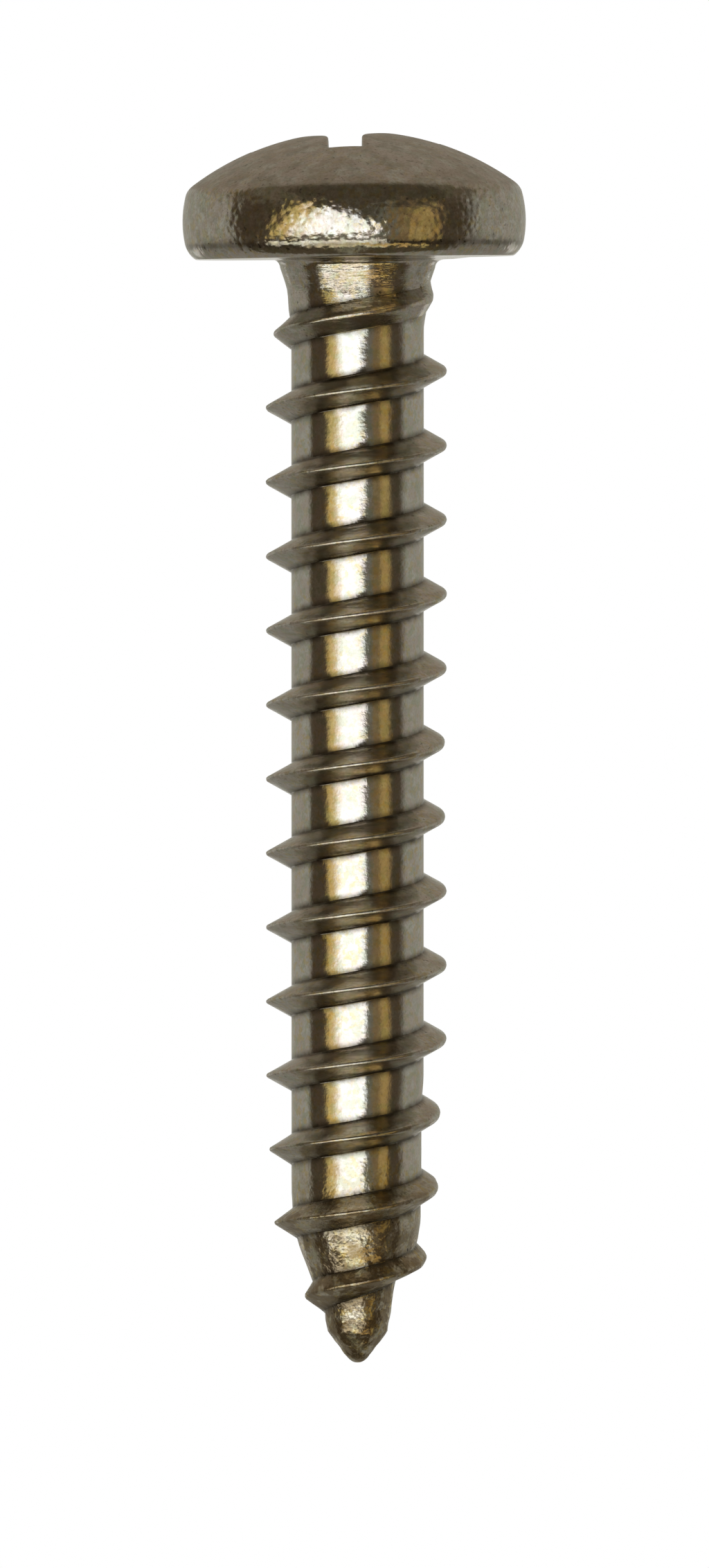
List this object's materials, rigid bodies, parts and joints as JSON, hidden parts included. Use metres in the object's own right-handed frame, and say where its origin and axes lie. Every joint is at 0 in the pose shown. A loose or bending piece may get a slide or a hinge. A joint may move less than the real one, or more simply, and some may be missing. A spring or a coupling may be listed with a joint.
{
  "type": "pan-head self-tapping screw",
  "caption": "Pan-head screw with a cross recess, a coarse self-tapping thread from the head down and a blunt tapered point.",
  "frame": {"origin": "on the shank's axis, level with the flat underside of the head, which bears on the work", "axes": "+Z along the shank's axis, up through the crown of the head; the point is towards -Z; the wings of the recess lie along X and Y"},
  "size_m": [0.0078, 0.0078, 0.0281],
  "materials": {
    "plated_steel": "bright plated steel, warm grey, lightly mottled on the head and smooth on the shank, with darker roots"
  },
  "bodies": {
    "root": {"screw": "plated_steel"}
  },
  "joints": []
}
